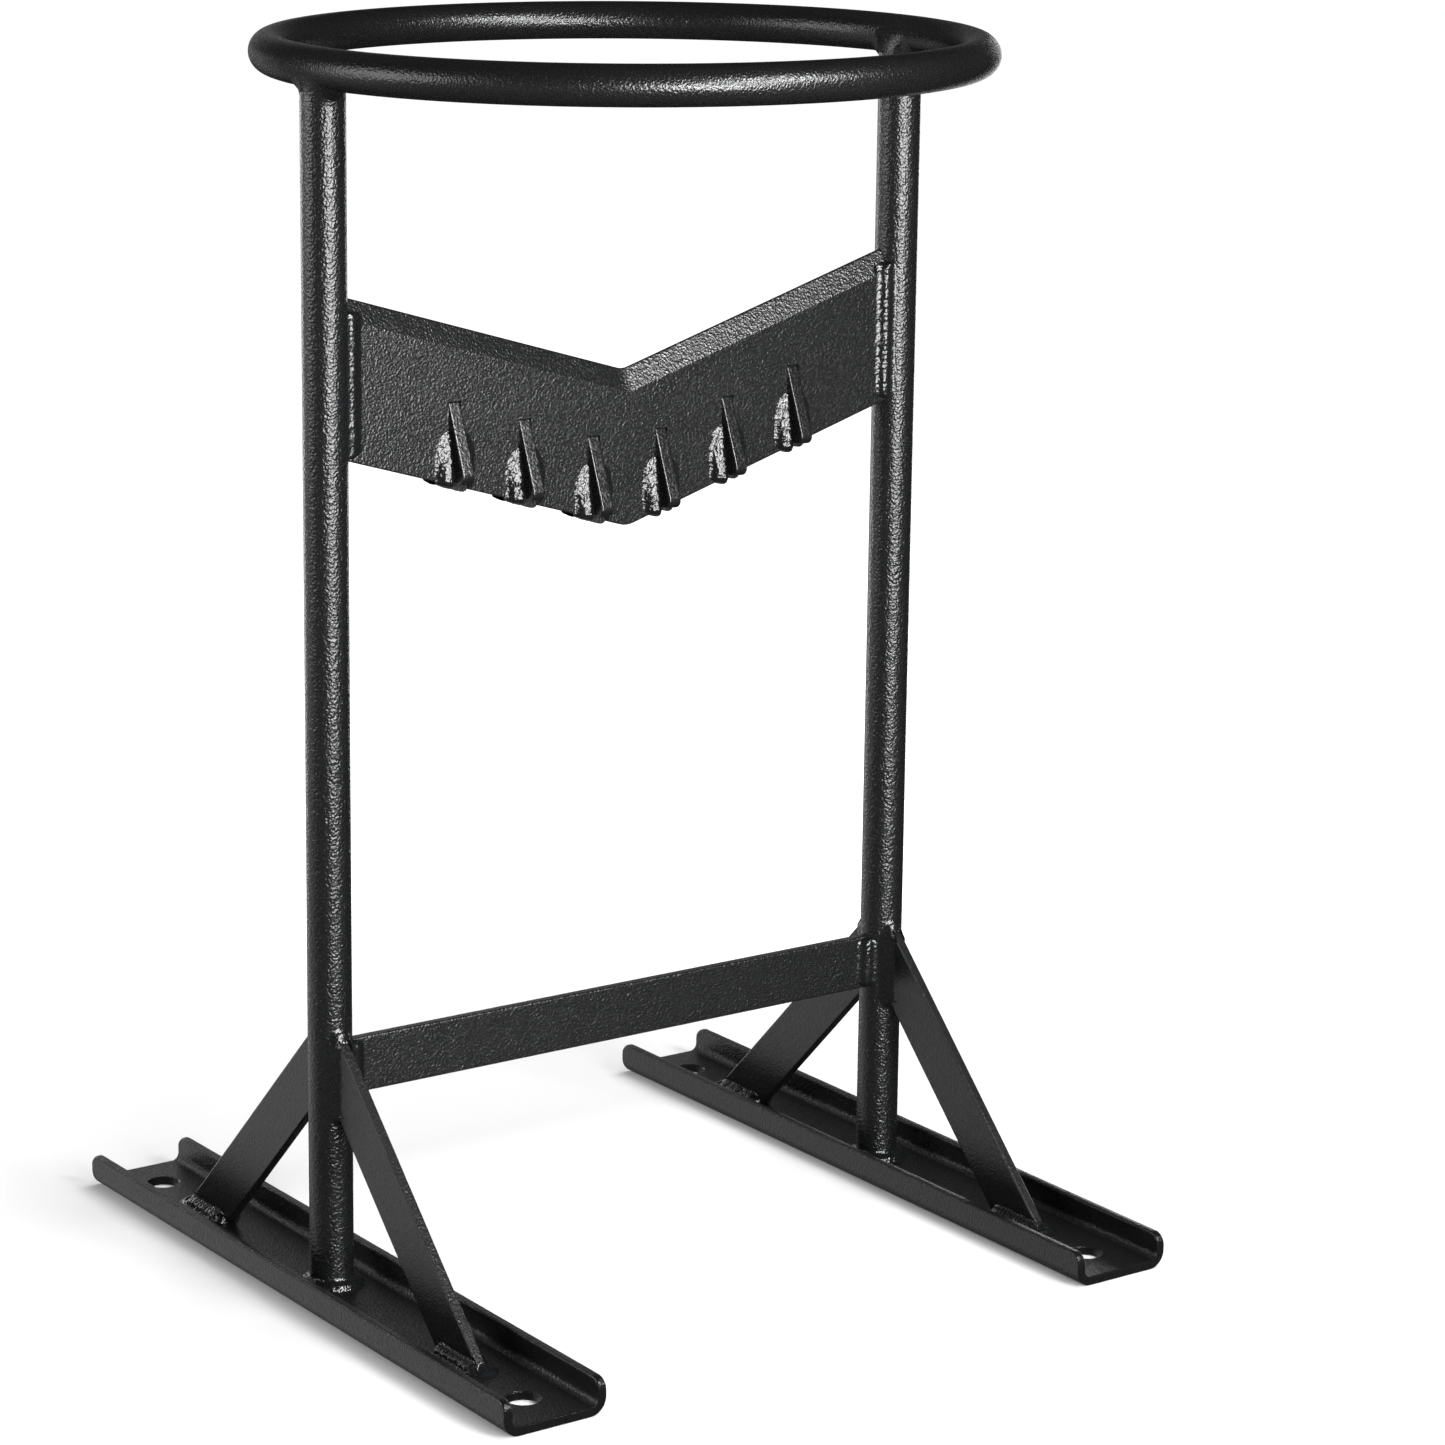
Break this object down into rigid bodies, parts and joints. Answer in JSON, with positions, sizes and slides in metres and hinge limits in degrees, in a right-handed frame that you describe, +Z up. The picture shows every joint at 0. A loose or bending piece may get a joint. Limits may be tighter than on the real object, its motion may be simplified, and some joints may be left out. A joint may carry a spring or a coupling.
{
  "type": "kindling splitter",
  "caption": "Welded steel kindling splitter: a hoop on posts guides a log onto a V-shaped blade with wedge fins, tied by a cross bar and standing on braced channel feet.",
  "frame": {"origin": "on the floor, midway between the feet, on the centre line of the posts", "axes": "+X along the blade and cross bar from the left post to the right post as seen from the front, -Y is the front, +Z up"},
  "size_m": [0.345, 0.347, 0.5335],
  "materials": {
    "frame_paint": "black textured (hammertone) enamel on steel bar and channel, semi-gloss",
    "blade_paint": "black textured (hammertone) enamel on the blade and its fins, semi-gloss, coarse grain",
    "weld_paint": "black enamel over weld beads, glossier than the plates"
  },
  "bodies": {
    "root": {"hoop": "frame_paint", "post_left": "frame_paint", "post_right": "frame_paint", "cross_bar": "frame_paint", "foot_left": "frame_paint", "foot_right": "frame_paint", "brace_left_front": "frame_paint", "brace_left_back": "frame_paint", "brace_right_front": "frame_paint", "brace_right_back": "frame_paint", "blade": "blade_paint", "fin_1": "blade_paint", "fin_2": "blade_paint", "fin_3": "blade_paint", "fin_4": "blade_paint", "fin_5": "blade_paint", "fin_6": "blade_paint", "weld_hoop_left": "weld_paint", "weld_hoop_right": "weld_paint", "weld_blade_left_front": "weld_paint", "weld_blade_left_back": "weld_paint", "weld_blade_right_front": "weld_paint", "weld_blade_right_back": "weld_paint", "weld_fin_1_left": "weld_paint", "weld_fin_1_right": "weld_paint", "weld_fin_2_left": "weld_paint", "weld_fin_2_right": "weld_paint", "weld_fin_3_left": "weld_paint", "weld_fin_3_right": "weld_paint", "weld_fin_4_left": "weld_paint", "weld_fin_4_right": "weld_paint", "weld_fin_5_left": "weld_paint", "weld_fin_5_right": "weld_paint", "weld_fin_6_left": "weld_paint", "weld_fin_6_right": "weld_paint", "weld_bar_left_front": "weld_paint", "weld_bar_left_back": "weld_paint", "weld_bar_right_front": "weld_paint", "weld_bar_right_back": "weld_paint", "weld_foot_left": "weld_paint", "weld_foot_right": "weld_paint", "weld_brace_left_front_top": "weld_paint", "weld_brace_left_front_foot": "weld_paint", "weld_brace_left_back_top": "weld_paint", "weld_brace_left_back_foot": "weld_paint", "weld_brace_right_front_top": "weld_paint", "weld_brace_right_front_foot": "weld_paint", "weld_brace_right_back_top": "weld_paint", "weld_brace_right_back_foot": "weld_paint"}
  },
  "joints": []
}
